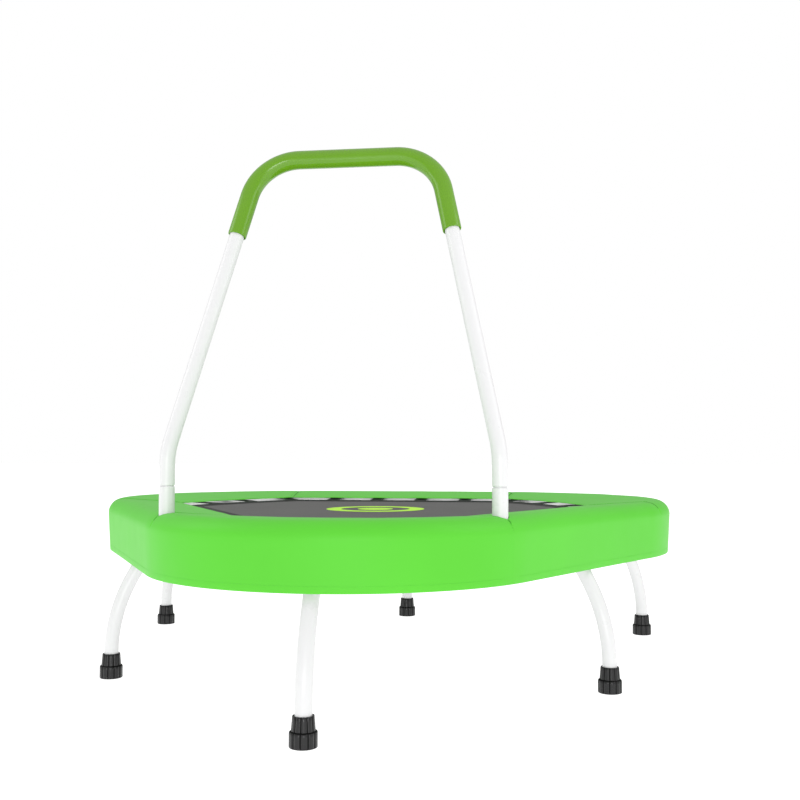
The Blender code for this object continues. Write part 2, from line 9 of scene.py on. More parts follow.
import bmesh
import bpy
from mathutils import Matrix, Vector, noise
from mathutils.bvhtree import BVHTree


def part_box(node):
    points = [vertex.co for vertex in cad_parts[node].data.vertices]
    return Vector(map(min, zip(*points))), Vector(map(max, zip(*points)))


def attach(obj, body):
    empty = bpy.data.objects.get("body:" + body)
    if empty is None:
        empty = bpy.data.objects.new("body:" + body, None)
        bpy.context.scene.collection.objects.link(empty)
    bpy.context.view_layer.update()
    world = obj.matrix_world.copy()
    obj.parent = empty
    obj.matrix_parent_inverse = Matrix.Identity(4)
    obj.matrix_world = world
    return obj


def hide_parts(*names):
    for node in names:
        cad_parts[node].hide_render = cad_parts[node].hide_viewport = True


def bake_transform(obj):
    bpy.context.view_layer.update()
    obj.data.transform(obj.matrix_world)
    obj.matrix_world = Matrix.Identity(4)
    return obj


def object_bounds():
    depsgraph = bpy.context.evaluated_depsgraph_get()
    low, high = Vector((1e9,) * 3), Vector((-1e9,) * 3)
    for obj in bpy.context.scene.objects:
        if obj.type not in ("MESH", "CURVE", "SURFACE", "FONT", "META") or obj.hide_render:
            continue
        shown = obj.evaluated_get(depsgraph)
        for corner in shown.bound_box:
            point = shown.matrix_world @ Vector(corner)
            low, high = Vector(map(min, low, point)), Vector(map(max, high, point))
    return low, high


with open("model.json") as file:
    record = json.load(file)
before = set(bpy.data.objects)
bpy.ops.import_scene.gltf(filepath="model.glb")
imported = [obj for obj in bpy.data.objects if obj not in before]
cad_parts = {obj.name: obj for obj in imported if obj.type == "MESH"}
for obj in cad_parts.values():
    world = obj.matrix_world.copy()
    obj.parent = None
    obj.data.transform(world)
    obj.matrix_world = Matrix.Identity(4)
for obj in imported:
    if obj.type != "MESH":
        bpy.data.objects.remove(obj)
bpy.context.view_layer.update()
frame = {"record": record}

LOBES = ("front", "right_rear", "left_rear")
SIDES = ("right_front", "rear", "left_front")
FEET = {m["name"].removeprefix("foot_").removesuffix("_base"): Vector(m["pos_m"])
        for m in frame["record"]["mounts"]}
AXIS = sum((FEET[lobe] for lobe in LOBES), Vector()) / len(LOBES)
ANGLES = {name: math.atan2(foot.y - AXIS.y, foot.x - AXIS.x) for name, foot in FEET.items()}
UP = Vector((0, 0, 1))
SIXTH = math.radians(60)
GAP = 0.0003

# Steel tube
TUBE_R = 0.0127
TUBE_BORE_R = 0.0112
SPIGOT_R = 0.0109
SPIGOT_BORE_R = 0.0097
TUBE_SIDES = 40
BEND_STEP = math.radians(4)
TUBE_EDGE = 0.0005              # rounding of a cut tube's rim

# Rail, legs and feet
RAIL_Z = 0.2885
RAIL_LOBE_CENTRE = 0.2592
RAIL_LOBE_R = 0.2898
RAIL_SIDE = RAIL_LOBE_CENTRE / 2 + RAIL_LOBE_R
RAIL_SIDE_HALF = RAIL_LOBE_CENTRE * math.sin(SIXTH)
RAIL_SPIGOT = 0.030
LEG_ANGLE = math.radians(31.5)
LEG_BEND_R = 0.28
LEG_END_Z = 0.006
SOCKET_R = 0.0150
SOCKET_START = 0.0145
SOCKET_END = 0.056
WELD_R = 0.0019
FOOT_R = 0.0206
FOOT_NECK_R = 0.0176
FOOT_RIM_R = 0.0159
FOOT_SHOULDER_Z = 0.0225
FOOT_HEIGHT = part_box("foot_front")[1].z
FOOT_FLUTES = 11
FOOT_FLUTE_DEPTH = 0.0011

# Padded cover
SKIRT_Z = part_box("pad_front")[0].z
SKIRT_LOBE_CENTRE = 0.267
SKIRT_R = 0.3605
PAD_BULGE = 0.004
SKIRT_THICKNESS = 0.003
PAD_CROWN_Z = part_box("pad_front")[1].z
PAD_LIP_Z = 0.3056
PAD_UNDER_Z = 0.3040
PAD_CROWN_AT = 0.78
PAD_EDGE_R = 0.028
PAD_EDGE_DROP = 0.0006
PAD_EDGE_INNER_R = 0.012
LIP_ROLL_R = (PAD_LIP_Z - PAD_UNDER_Z) / 2
LIP_DROOP = 0.0006              # how far the free edge round the opening hangs below the padding
LIP_DROOP_WIDTH = 0.040
OPENING_SIDE = 0.349
OPENING_APEX = 0.417
OPENING_BOW_R = 0.736
HEM_Z = SKIRT_Z - 0.001
BINDING_AT = 0.011              # stitched channel along the opening's edge
BINDING_WIDTH = 0.0009
BINDING_DEPTH = 0.0008
PANEL_STEP = 0.0065             # between a panel's sections
PANEL_GAP = 0.00005
SEAM_DEPTH = 0.0016
SEAM_WIDTH = 0.0016
SEAM_PUFF = 0.0008              # how far the padding is drawn down towards a seam
SEAM_PUFF_WIDTH = 0.014
SEAM_CORD_R = 0.0006
SEAM_CORD_END = 0.015           # height above the shoulder where the cord ends
STITCH_PITCH = 0.0052
STITCH_LENGTH = 0.0034
STITCH_R = 0.00045
STITCH_FROM_SEAM = 0.0065
HEM_STITCH_R = 0.00025
HEM_STITCH_RISE = 0.011
FOLD_DEPTH = 0.0003             # unevenness of the hanging skirt, and of the top
LUMP_DEPTH = 0.0004
POST_HOLE_R = 0.0140
SPREAD_RIGHT = 0.0055           # how far the skirt stands out at the cover's right and left corners
SPREAD_LEFT = -0.0022
SPREAD_FROM = 0.36
CORNER_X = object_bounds()[1].x

# Mat and straps
MAT_INSET = 0.018
MAT_BORDER = 0.025
MAT_TOP_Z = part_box("mat")[1].z
MAT_THICKNESS = 0.002
MAT_BORDER_THICKNESS = 0.003
EDGE_CORD_R = 0.0014
MARK_RING = (0.070, 0.100)      # inner and outer radius of the printed ring, and its dot's
MARK_DOT_R = 0.036
STRAP_WIDTH = 0.030
STRAP_WRAP_R = 0.0131
STRAP_THICKNESS = 0.0015
STRAP_NARROWING = 0.09          # share of its width that a stretched strap loses halfway
STRAP_END_R = 0.0008
STRAP_ARC_STEPS = 28
STRAP_RUN_STEPS = 12
STRAP_END_Z = 0.2959
SIDE_STRAPS = (-0.158, -0.0527, 0.0527, 0.158)
LOBE_STRAP_OFFSET = 0.058
CORNER_STRAP_CLEAR = 0.005
LOBE_STRAP_RAIL_ANGLE = math.radians(15)
CORNER_STRAP_RAIL_ANGLE = math.radians(45)

# Posts and handlebar
POST_X = 0.2709
POST_FORWARD = 0.4681
POST_BOTTOM_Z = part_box("post_left")[0].z
JOINT_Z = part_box("post_left")[1].z
JOINT_GAP = 0.0018
SPIGOT_LENGTH = 0.075
PLUG_LEAD = 0.0015              # how much narrower a plug's end is, and half its wall
BEND_Z = 0.4143
BAR_BEND_R = 0.120
BAR_TOP_Z = 0.9322
BAR_TOP_X = 0.1572
BAR_LEAN = 0.2832
BAR_TOP_BEND_R = 0.0873
GRIP_R = 0.0162
GRIP_BORE_R = 0.0130
GRIP_ROLL = 0.0010
GRIP_END_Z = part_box("handlebar_grip")[0].z
SLEEVE_R = 0.0155
SLEEVE_BOTTOM_Z = 0.247
SLEEVE_TOP_Z = 0.300
SPACER_WIDTH = 0.016
SPACER_HEIGHT = 0.022
BOLT_Z = 0.268
BOLT_R = 0.003
SCREW_Z = 0.338
SCREW_R = 0.0028
RECESS_FROM_SEAT = 0.0036       # the cross recess in its head: middle, and each slot's size
RECESS_SIZE = (0.0046, 0.0026, 0.0010)

# Camera, from the fit to the photo: place from the trampoline's axis, lens in mm, turns in radians
CAMERA_PLACE = Vector((0.32715, -2.08228, 0.41418))
CAMERA_LENS = 46.12
CAMERA_TILT = 0.0504
CAMERA_TURN = 0.1319

# Light: name, place, target, size and watts of each soft box
SOFT_BOXES = (
    ("left_soft_box", (-1.3, -0.45, 1.15), (-0.25, -0.4, 0.7), (0.7, 0.9), 3.2),
    ("right_soft_box", (1.3, -0.45, 1.15), (0.25, -0.4, 0.7), (0.7, 0.9), 3.2),
    ("low_front_soft_box", (0.2, -1.9, 0.34), (0, -0.4, 0.6), (1.8, 0.08), 1.3),
    ("front_soft_box", (1.2, -8.0, 0.95), (0, 0, 0.3), (3.0, 0.8), 100),
)
ROOM_LIGHT = ((0.0, 0.82), (0.15, 0.50), (1.0, 0.98))   # sine of the height above the horizon, and strength
FLOOR_SIZE = 30
FLOOR_GLOW = 0.93

# Colours, linear
FLOOR_WHITE = (0.46, 0.46, 0.46)
WHITE = (0.77, 0.77, 0.775)
GREEN = (0.105, 0.60, 0.033)
THREAD_GREEN = (0.098, 0.585, 0.032)
# darker than the cover: painted shade along the seam lines
SEAM_SHADE_GREEN = (0.062, 0.38, 0.022)
OLIVE = (0.132, 0.325, 0.009)
GREY = (0.124, 0.124, 0.120)
DARK = (0.012, 0.018, 0.012)
ELASTIC = (0.010, 0.030, 0.010)
BORDER = (0.048, 0.052, 0.048)
BLACK = (0.010, 0.010, 0.0105)
# near-black painted shade for the foot's grooves and shoulder ledge
PAINTED_GROOVE_SHADE = (0.003, 0.003, 0.003)
LINING = (0.86, 0.87, 0.85)
STEEL = (0.56, 0.57, 0.58)
LIME = (0.52, 1.0, 0.035)


# ---- objects and meshes

def add_object(name, data):
    obj = bpy.data.objects.new(name, data)
    bpy.context.scene.collection.objects.link(obj)
    return obj


def mesh_from(bm, name):
    mesh = bpy.data.meshes.new(name)
    bm.to_mesh(mesh)
    bm.free()
    return mesh


# ---- camera, light and floor

def make_camera():
    data = bpy.data.cameras.new("camera")
    data.sensor_width = 36
    data.lens = CAMERA_LENS
    camera = add_object("camera", data)
    camera.location = CAMERA_PLACE + AXIS
    camera.rotation_euler = (math.pi / 2 + CAMERA_TILT, 0, CAMERA_TURN)
    bpy.context.scene.camera = camera


def add_area_light(name, place, target, size, power):
    data = bpy.data.lights.new(name, "AREA")
    data.shape = "RECTANGLE"
    data.size, data.size_y = size
    data.energy = power
    light = add_object(name, data)
    light.location = place
    light.visible_camera = False
    light.rotation_euler = (Vector(target) - Vector(place)).to_track_quat("-Z", "Y").to_euler()


def make_lights():
    """Soft boxes at both sides and in front, in a pale room that the camera sees as white."""
    for name, place, target, size, power in SOFT_BOXES:
        add_area_light(name, place, target, size, power)
    world = bpy.data.worlds.new("pale_room")
    bpy.context.scene.world = world
    world.use_nodes = True
    tree = world.node_tree
    place = node(tree, "TexCoord")
    height = node(tree, "SeparateXYZ", {"Vector": place.outputs["Generated"]})
    fade = node(tree, "ValToRGB", {"Fac": height.outputs["Z"]})
    while len(fade.color_ramp.elements) < len(ROOM_LIGHT):
        fade.color_ramp.elements.new(1.0)
    for stop, (place_on_ramp, strength) in zip(fade.color_ramp.elements, ROOM_LIGHT):
        stop.position = place_on_ramp
        stop.color = (strength, strength, strength, 1)
    seen = node(tree, "LightPath").outputs["Is Camera Ray"]
    strength = node(tree, "Mix", {"Factor": seen, "A": fade.outputs["Color"], "B": 1.0})
    back = tree.nodes["Background"]
    back.inputs["Color"].default_value = (1, 1, 1, 1)
    tree.links.new(strength.outputs["Result"], back.inputs["Strength"])


def make_floor():
    bm = bmesh.new()
    bmesh.ops.create_grid(bm, x_segments=1, y_segments=1, size=FLOOR_SIZE)
    floor = add_object("floor", mesh_from(bm, "floor"))
    white = painted("floor_white", FLOOR_WHITE, 0.9, grain=60.0, vary=0.005, bump=0.00002)
    glow = white.node_tree.nodes["Principled BSDF"]
    glow.inputs["Emission Color"].default_value = (1, 1, 1, 1)
    glow.inputs["Emission Strength"].default_value = FLOOR_GLOW
    floor.data.materials.append(white)


# ---- materials

def node(tree, kind, inputs=None, **settings):
    made = tree.nodes.new("ShaderNode" + kind)
    for key, value in settings.items():
        setattr(made, key, value)
    for key, value in (inputs or {}).items():
        if isinstance(value, bpy.types.NodeSocket):
            tree.links.new(value, made.inputs[key])
        else:
            made.inputs[key].default_value = value
    return made


def new_material(name, roughness, metallic=0.0, specular=0.5):
    """A node material, its Principled shader and the object's own coordinates."""
    mat = bpy.data.materials.new(name)
    mat.use_nodes = True
    shader = mat.node_tree.nodes["Principled BSDF"]
    shader.inputs["Roughness"].default_value = roughness
    shader.inputs["Metallic"].default_value = metallic
    shader.inputs["Specular IOR Level"].default_value = specular
    return mat, mat.node_tree, shader, node(mat.node_tree, "TexCoord").outputs["Object"]


def vary_colour(tree, shader, place, colour, scale, amount):
    """Base colour that drifts a little lighter and darker over the surface."""
    cloud = node(tree, "TexNoise", {"Vector": place, "Scale": scale, "Detail": 3.0})
    ramp = node(tree, "MapRange", {"Value": cloud.outputs["Fac"], "From Min": 0.3, "From Max": 0.7})
    mix = node(tree, "Mix", {"Factor": ramp.outputs["Result"]}, data_type="RGBA")
    mix.inputs["A"].default_value = (*[c * (1 - amount) for c in colour], 1)
    mix.inputs["B"].default_value = (*[min(c * (1 + amount), 1) for c in colour], 1)
    tree.links.new(mix.outputs["Result"], shader.inputs["Base Color"])


def vary_roughness(tree, shader, place, roughness, scale, amount):
    cloud = node(tree, "TexNoise", {"Vector": place, "Scale": scale, "Detail": 2.0})
    ramp = node(tree, "MapRange", {"Value": cloud.outputs["Fac"], "From Min": 0.3, "From Max": 0.7,
                                   "To Min": roughness - amount, "To Max": roughness + amount})
    tree.links.new(ramp.outputs["Result"], shader.inputs["Roughness"])


def painted(name, colour, roughness, grain=900.0, vary=0.02, bump=0.00003, metallic=0.0, specular=0.5):
    """Paint, plastic or rubber with a fine grain."""
    mat, tree, shader, place = new_material(name, roughness, metallic, specular)
    vary_colour(tree, shader, place, colour, 9.0, vary)
    vary_roughness(tree, shader, place, roughness, 40.0, roughness * 0.12)
    fine = node(tree, "TexNoise", {"Vector": place, "Scale": grain, "Detail": 2.0})
    raised = node(tree, "Bump", {"Height": fine.outputs["Fac"], "Distance": bump, "Strength": 1.0})
    tree.links.new(raised.outputs["Normal"], shader.inputs["Normal"])
    return mat


def thread_lines(tree, place, pitch):
    """Crossed ribs along the three axes, so that each face shows a weave of that pitch."""
    per_unit = 2 * math.pi / 20 / pitch
    total = 0.0
    for axis in "XYZ":
        wave = node(tree, "TexWave", {"Vector": place, "Scale": per_unit, "Distortion": 0.6,
                                      "Detail Scale": 3.0}, bands_direction=axis)
        total = node(tree, "Math", {0: total, 1: wave.outputs["Fac"]}, operation="ADD").outputs[0]
    return total


def woven(name, colour, roughness, pitch, depth, vary=0.04, sheen=0.0, specular=0.5, crease=0.0):
    """Cloth, or a coated cloth whose weave shows through."""
    mat, tree, shader, place = new_material(name, roughness, specular=specular)
    shader.inputs["Sheen Weight"].default_value = sheen
    shader.inputs["Sheen Roughness"].default_value = 0.4
    vary_colour(tree, shader, place, colour, 5.0, vary)
    vary_roughness(tree, shader, place, roughness, 30.0, roughness * 0.025)
    bump = node(tree, "Bump", {"Height": thread_lines(tree, place, pitch), "Distance": depth,
                               "Strength": 1.0})
    if crease:
        folds = node(tree, "TexNoise", {"Vector": place, "Scale": 14.0, "Detail": 3.0, "Roughness": 0.45})
        bump = node(tree, "Bump", {"Height": folds.outputs["Fac"], "Distance": crease, "Strength": 1.0,
                                   "Normal": bump.outputs["Normal"]})
    tree.links.new(bump.outputs["Normal"], shader.inputs["Normal"])
    return mat


def make_materials():
    return {
        "frame_tube": painted("white_powder_coat", WHITE, 0.30, grain=700.0, vary=0.006, bump=0.000004),
        "weld": painted("painted_weld", WHITE, 0.42, grain=400.0, vary=0.03, bump=0.00006),
        "pad_cover": woven("green_coated_cloth", GREEN, 0.48, 0.0011, 0.00001, vary=0.025, specular=0.27,
                           crease=0.00025),
        "lining": woven("pale_cover_lining", LINING, 0.75, 0.0012, 0.00006, specular=0.3),
        "thread": woven("green_thread", THREAD_GREEN, 0.6, 0.0004, 0.00004, vary=0.08),
        # dark cord along the seams of the rounded panels: painted shade of the seam lines
        "seam_shade": woven("painted_seam_shade_cord", SEAM_SHADE_GREEN, 0.6, 0.0004, 0.00004, vary=0.08),
        "mat_fabric": woven("grey_mat_weave", GREY, 0.78, 0.0016, 0.00012, vary=0.05, specular=0.3),
        "border": woven("dark_border_band", BORDER, 0.75, 0.0012, 0.00012, vary=0.05, specular=0.3),
        "mat_thread": woven("dark_mat_thread", BORDER, 0.6, 0.0004, 0.00004, vary=0.08),
        "webbing": woven("dark_webbing", DARK, 0.7, 0.0012, 0.00012, vary=0.15, sheen=0.1),
        "elastic": woven("dark_green_elastic", ELASTIC, 0.72, 0.0014, 0.0002, vary=0.15, sheen=0.1),
        "grip_sleeve": painted("olive_foam_vinyl", OLIVE, 0.20, grain=520.0, vary=0.03, bump=0.00001),
        "foot_rubber": painted("black_rubber", BLACK, 0.30, grain=650.0, vary=0.12, specular=0.4),
        # darker rubber on the foot's groove and shoulder ledge faces: painted shade
        "recess": painted("black_rubber_painted_groove_shade", PAINTED_GROOVE_SHADE, 0.7, grain=650.0, vary=0.1, specular=0.1),
        "fastener": painted("zinc_plated_steel", STEEL, 0.30, grain=300.0, vary=0.06, bump=0.00002,
                            metallic=1.0),
        "print": woven("lime_print", LIME, 0.6, 0.0016, 0.0001, vary=0.03),
    }


# ---- pieces

def add_piece(name, bm, material="frame_tube", slot=None, body="frame", replaces=(), sharp=40):
    """Turn a bmesh into a smooth piece that rides on a body, or on none where body is None.

    The slot argument is not used.
    """
    bmesh.ops.recalc_face_normals(bm, faces=bm.faces)
    mesh = mesh_from(bm, name)
    mesh.shade_smooth()
    mesh.set_sharp_from_angle(angle=math.radians(sharp))
    mesh.materials.append(materials[material])
    obj = add_object(name, mesh)
    if body:
        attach(obj, body)
    if replaces:
        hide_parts(*replaces)
    return obj


# ---- plan geometry

def direction(angle):
    return Vector((math.cos(angle), math.sin(angle), 0))


def turn(angle):
    return direction(angle + math.pi / 2)


def plan(point, z=0.0):
    """A point given from the trampoline's axis, in world coordinates."""
    return Vector((point[0] + AXIS.x, point[1] + AXIS.y, z))


def bow_centre():
    return OPENING_APEX - OPENING_BOW_R


def corner_bow_angle(inset):
    reach = OPENING_SIDE - inset - bow_centre() / 2
    return SIXTH - math.acos(reach / (OPENING_BOW_R - inset))


def bow_point(lobe, fraction, inset):
    """Point on a lobe's bowed edge of the opening; fraction runs from -1 to 1."""
    bow = corner_bow_angle(inset) * fraction
    radius = OPENING_BOW_R - inset
    axis = ANGLES[lobe]
    return direction(axis) * (bow_centre() + radius * math.cos(bow)) + turn(axis) * radius * math.sin(bow)


def outline(inset, bow_steps=16, side_steps=16):
    """The opening's outline, moved inwards by inset, with points along the straight sides as well."""
    points = []
    for i, lobe in enumerate(LOBES):
        arc = [bow_point(lobe, -1 + 2 * k / bow_steps, inset) for k in range(bow_steps + 1)]
        start_of_next = bow_point(LOBES[(i + 1) % len(LOBES)], -1, inset)
        points += arc + [arc[-1].lerp(start_of_next, k / side_steps) for k in range(1, side_steps)]
    return points


def seam_angle():
    corner = bow_point("right_rear", 1, 0)
    axis = ANGLES["right_rear"]
    return math.atan2(corner.dot(turn(axis)), corner.dot(direction(axis)) - SKIRT_LOBE_CENTRE)


# ---- sweeps

def fillet(points, radii):
    """Round the inner corners of a polyline with arcs."""
    path = [points[0]]
    for i, radius in enumerate(radii):
        corner = points[i + 1]
        back = (points[i] - corner).normalized()
        ahead = (points[i + 2] - corner).normalized()
        half = back.angle(ahead) / 2
        middle = corner + (back + ahead).normalized() * (radius / math.sin(half))
        start = corner + back * (radius / math.tan(half)) - middle
        end = corner + ahead * (radius / math.tan(half)) - middle
        steps = max(4, math.ceil(start.angle(end) / BEND_STEP))
        path += [middle + start.slerp(end, j / steps) * radius for j in range(steps + 1)]
    path.append(points[-1])
    return path


def frames(path, normal):
    """Point, tangent, normal and binormal along a path, carried along without twist."""
    result = []
    for i, point in enumerate(path):
        ahead = path[min(i + 1, len(path) - 1)] - point
        behind = point - path[max(i - 1, 0)]
        tangent = (ahead.normalized() + behind.normalized()).normalized()
        normal = (normal - tangent * normal.dot(tangent)).normalized()
        result.append((point, tangent, normal, tangent.cross(normal)))
    return result


def straight(start, end, normal):
    return frames([start, end], normal)


def ring_at(bm, frame_here, radius, shift=0.0, sides=TUBE_SIDES, ripple=None):
    point, tangent, normal, binormal = frame_here
    centre = point + tangent * shift
    ring = []
    for i in range(sides):
        angle = 2 * math.pi * i / sides
        here = radius + (ripple(angle) if ripple else 0.0)
        ring.append(bm.verts.new(centre + (normal * math.cos(angle) + binormal * math.sin(angle)) * here))
    return ring


def skin(bm, rings, closed=False, caps=False):
    pairs = list(zip(rings, rings[1:]))
    if closed:
        pairs.append((rings[-1], rings[0]))
    if caps:
        bm.faces.new(rings[0])
        bm.faces.new(rings[-1])
    for low, high in pairs:
        for i in range(len(low)):
            j = (i + 1) % len(low)
            bm.faces.new((low[i], low[j], high[j], high[i]))


def swept(bm, stations, closed=False, sides=TUBE_SIDES):
    """Skin through (frame, radius, shift) stations: a closed loop of them is a tube wall, others get caps."""
    rings = [ring_at(bm, here, radius, shift, sides) for here, radius, shift in stations]
    skin(bm, rings, closed, caps=not closed)
    return bm


def tube(line, rim, bore_rim):
    """Wall of a tube along a line of frames, with the same rim at both ends.

    rim and bore_rim hold (radius, distance in from the line's end), from the tip inwards; the last radius
    of each is the tube's own.
    """
    loops = []
    for edge in (rim, bore_rim):
        radius = edge[-1][0]
        loops.append([(line[0], r, inwards) for r, inwards in edge]
                     + [(here, radius, 0) for here in line[1:-1]]
                     + [(line[-1], r, -inwards) for r, inwards in reversed(edge)])
    return swept(bmesh.new(), loops[0] + loops[1][::-1], closed=True)


def add_tube(name, line, **options):
    """Open-ended steel tube with rounded rims."""
    bore_rim = [(TUBE_BORE_R + TUBE_EDGE / 2, 0), (TUBE_BORE_R, TUBE_EDGE)]
    add_piece(name, tube(line, [(TUBE_R - TUBE_EDGE, 0), (TUBE_R, TUBE_EDGE)], bore_rim), **options)


def weld_bead(name, points, radius=WELD_R):
    """Rippled bead of weld along a closed loop of points."""
    bm = bmesh.new()
    rings = []
    count = len(points)
    for i, point in enumerate(points):
        tangent = (points[(i + 1) % count] - points[i - 1]).normalized()
        normal = tangent.cross(UP if abs(tangent.z) < 0.9 else Vector((1, 0, 0))).normalized()
        here = (point, tangent, normal, tangent.cross(normal))
        rings.append(ring_at(bm, here, radius * (1 + 0.16 * (i % 2)), sides=8))
    skin(bm, rings, closed=True)
    add_piece(name, bm, "weld", "frame_tube")


# ---- rail, legs and feet

def rail_middle(station):
    radius = RAIL_LOBE_CENTRE + RAIL_LOBE_R if station in LOBES else RAIL_SIDE
    return plan(direction(ANGLES[station]) * radius, RAIL_Z)


def make_lobe_rail(lobe):
    """Bent rail whose narrowed ends plug straight into the side rails."""
    axis = ANGLES[lobe]
    centre = direction(axis) * RAIL_LOBE_CENTRE
    steps = math.ceil(2 * SIXTH / BEND_STEP)
    path = [plan(centre + direction(axis - SIXTH + 2 * SIXTH * i / steps) * RAIL_LOBE_R, RAIL_Z)
            for i in range(steps + 1)]
    line = frames(path, UP)
    for end, angle in ((0, axis - SIXTH), (-1, axis + SIXTH)):
        line[end] = (path[end], turn(angle), UP, turn(angle).cross(UP))
    rim = [(SPIGOT_R, -RAIL_SPIGOT), (SPIGOT_R, -TUBE_EDGE), (TUBE_R - TUBE_EDGE, 0), (TUBE_R, TUBE_EDGE)]
    add_piece(f"rail_tube_{lobe}", tube(line, rim, [(SPIGOT_BORE_R, -RAIL_SPIGOT)]),
              replaces=[f"rail_{lobe}"])


def make_side_rail(side):
    middle = rail_middle(side)
    along = turn(ANGLES[side]) * (RAIL_SIDE_HALF - GAP)
    add_tube(f"rail_tube_{side}", straight(middle - along, middle + along, UP), replaces=[f"rail_{side}"])


def leg_direction(station):
    return direction(ANGLES[station]) * math.sin(LEG_ANGLE) - UP * math.cos(LEG_ANGLE)


def make_socket(station):
    """Welded socket under the rail, with its bead where it meets the rail."""
    middle = rail_middle(station)
    down = leg_direction(station)
    side = turn(ANGLES[station])
    across = down.cross(side)
    bore_r = TUBE_R + GAP
    top, mouth = straight(middle + down * (TUBE_R * 0.5), middle + down * SOCKET_END, side)
    stations = [(top, SOCKET_R, 0), (mouth, SOCKET_R, -TUBE_EDGE), (mouth, SOCKET_R - TUBE_EDGE, 0)]
    stations += [(mouth, bore_r, 0), (top, bore_r, 0.008)]
    add_piece(f"leg_socket_{station}", swept(bmesh.new(), stations))
    bead = []
    for i in range(64):
        angle = 2 * math.pi * i / 64
        sideways = SOCKET_R * math.sin(angle)
        reach = math.sqrt(max(TUBE_R ** 2 - sideways ** 2, 0)) + WELD_R * 0.4
        bead.append(middle + side * SOCKET_R * math.cos(angle) + across * sideways + down * reach)
    weld_bead(f"leg_weld_{station}", bead)


def make_leg(station):
    foot = FEET[station]
    top = rail_middle(station) + leg_direction(station) * (SOCKET_START + GAP)
    reach = (foot - AXIS).length - (plan((0, 0), top.z) - top).length
    corner = foot + UP * (top.z - reach / math.tan(LEG_ANGLE))
    path = fillet([foot + UP * LEG_END_Z, corner, top], [LEG_BEND_R])
    add_tube(f"leg_tube_{station}", frames(path, turn(ANGLES[station])), replaces=[f"leg_{station}"])


def flute(angle):
    """1 in the middle of a foot's upright grooves, 0 between them."""
    return (0.5 + 0.5 * math.cos(FOOT_FLUTES * angle)) ** 3


def make_boot(station):
    """Moulded foot: fluted base and neck, rounded rim, bore for the leg, ringed tread; its grooves and
    shoulder ledge get a darker rubber that is painted shade.
    """
    bore_r = TUBE_R + 2 * GAP
    round_r = 0.0012
    profile = [(0.0045, 0.0012), (0.0052, 0), (0.0092, 0), (0.0100, 0.0010), (0.0128, 0.0010), (0.0136, 0),
               (FOOT_R - round_r, 0), (FOOT_R - round_r * 0.3, round_r * 0.3), (FOOT_R, round_r)]
    profile += [(FOOT_R, FOOT_SHOULDER_Z * k / 4) for k in (1, 2, 3)]
    profile += [(FOOT_R, FOOT_SHOULDER_Z - 0.0022), (FOOT_R - 0.0007, FOOT_SHOULDER_Z - 0.0008),
                (FOOT_NECK_R + 0.0012, FOOT_SHOULDER_Z), (FOOT_NECK_R, FOOT_SHOULDER_Z + 0.0008)]
    profile += [(FOOT_NECK_R + (FOOT_RIM_R - FOOT_NECK_R) * k / 4,
                 FOOT_SHOULDER_Z + (FOOT_HEIGHT - FOOT_SHOULDER_Z - 0.001) * k / 4) for k in (1, 2, 3, 4)]
    profile += [(FOOT_RIM_R - 0.0006, FOOT_HEIGHT), (bore_r + 0.0005, FOOT_HEIGHT),
                (bore_r, FOOT_HEIGHT - 0.0006), (bore_r, LEG_END_Z - GAP), (0.004, LEG_END_Z - GAP)]
    bm = bmesh.new()
    # recess marks the flute grooves and the shoulder ledge, whose faces get the darker rubber as painted
    # shade
    recess = bm.verts.layers.float.new("recess")
    rings = []
    for radius, z in profile:
        outside = radius > bore_r + 0.001 and z > round_r * 0.5
        here = (FEET[station] + UP * z, UP, direction(ANGLES[station]), turn(ANGLES[station]))
        ring = ring_at(bm, here, radius, sides=FOOT_FLUTES * 12,
                       ripple=lambda angle: -FOOT_FLUTE_DEPTH * flute(angle) * outside)
        for i, vert in enumerate(ring):
            ledge = FOOT_SHOULDER_Z - 0.0010 < z < FOOT_SHOULDER_Z + 0.0010
            vert[recess] = max(flute(2 * math.pi * i / len(ring)) * outside, ledge)
        rings.append(ring)
    skin(bm, rings, caps=True)
    for face in bm.faces:
        face.material_index = int(all(vert[recess] > 0.45 for vert in face.verts))
    boot = add_piece(f"boot_{station}", bm, "foot_rubber", replaces=[f"foot_{station}"])
    boot.data.materials.append(materials["recess"])


# ---- posts and bracket

def post_place(side, z):
    return plan((side * POST_X, -POST_FORWARD), z)


def post_radial(side):
    return (post_place(side, 0) - plan((0, -RAIL_LOBE_CENTRE))).normalized()


def block(place, turned, size):
    bm = bmesh.new()
    bmesh.ops.create_cube(bm, size=1)
    bmesh.ops.transform(bm, matrix=Matrix.Translation(place) @ turned @ Matrix.Diagonal((*size, 1)),
                        verts=bm.verts)
    return bm


